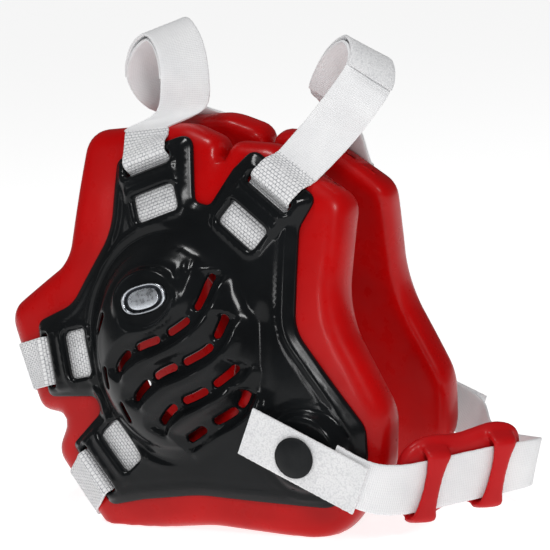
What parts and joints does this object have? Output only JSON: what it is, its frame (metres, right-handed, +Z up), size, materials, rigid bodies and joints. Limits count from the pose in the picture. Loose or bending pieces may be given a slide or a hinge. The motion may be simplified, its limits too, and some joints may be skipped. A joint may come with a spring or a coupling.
{
  "type": "wrestling headgear",
  "caption": "Wrestling headgear: two vented ear guards on thick foam pads, joined by webbing straps over and behind the head, with a detachable padded chin strap on snaps.",
  "frame": {"origin": "The middle of the bounding box in plan, on the floor that the two pads stand on.", "axes": "+X is the wearer's front, +Y the wearer's left, +Z up. The guards mirror each other in the plane y = 0."},
  "size_m": [0.2102, 0.1238, 0.1906],
  "materials": {
    "shell_plastic": "high gloss black",
    "pad_vinyl": "smooth satin red vinyl skin over foam",
    "chin_pad_foam": "soft satin red vinyl skin over foam",
    "webbing": "white woven webbing with a hook-and-loop face",
    "badge_metal": "plain silvered oval",
    "snap_metal": "plated",
    "snap_cap_plastic": "matt black"
  },
  "bodies": {
    "right_guard": {"right_shell": "shell_plastic", "right_pad": "pad_vinyl", "right_badge": "badge_metal", "right_snap_stud": "snap_metal", "crown_strap_right": "webbing", "front_strap_right": "webbing", "upper_rear_strap_right": "webbing", "lower_rear_strap_right": "webbing"},
    "left_guard": {"left_shell": "shell_plastic", "left_pad": "pad_vinyl", "left_badge": "badge_metal", "left_snap_stud": "snap_metal", "crown_strap_left": "webbing", "front_strap_left": "webbing", "upper_rear_strap_left": "webbing", "lower_rear_strap_left": "webbing"},
    "chin_right": {"right_snap_tab": "webbing"},
    "right_snap": {"right_snap_socket": "snap_metal", "right_snap_cap": "snap_cap_plastic"},
    "chin": {"chin_strap": "webbing", "chin_pad": "chin_pad_foam"},
    "chin_left": {"left_snap_tab": "webbing"},
    "left_snap": {"left_snap_socket": "snap_metal", "left_snap_cap": "snap_cap_plastic"}
  },
  "joints": [
    {"name": "guard_spread", "type": "slide", "parent": "right_guard", "child": "left_guard", "axis": [0, 1, 0], "range_m": [0, 0.02], "deforming": ["crown_strap_right", "crown_strap_left", "front_strap_right", "front_strap_left", "upper_rear_strap_right", "upper_rear_strap_left", "lower_rear_strap_right", "lower_rear_strap_left"]},
    {"name": "chin_swing", "type": "hinge", "parent": "right_guard", "child": "chin_right", "pos_m": [0.0332, -0.0547, 0.03475], "axis": [0, 1, 0], "range_deg": [-50, 30]},
    {"name": "chin_follow", "type": "slide", "parent": "chin_right", "child": "chin", "axis": [0, 1, 0], "range_m": [0, 0.01], "deforming": ["chin_strap"]},
    {"name": "chin_left_follow", "type": "slide", "parent": "chin", "child": "chin_left", "axis": [0, 1, 0], "range_m": [0, 0.01], "deforming": ["chin_strap"]},
    {"name": "right_snap_release", "type": "slide", "parent": "chin_right", "child": "right_snap", "axis": [0, -1, 0], "range_m": [0, 0.006], "deforming": ["right_snap_tab"]},
    {"name": "left_snap_release", "type": "slide", "parent": "chin_left", "child": "left_snap", "axis": [0, 1, 0], "range_m": [0, 0.006], "deforming": ["left_snap_tab"]}
  ],
  "couplings": [
    {"joint": "chin_follow", "follows": "guard_spread", "ratio": 0.5},
    {"joint": "chin_left_follow", "follows": "guard_spread", "ratio": 0.5}
  ]
}
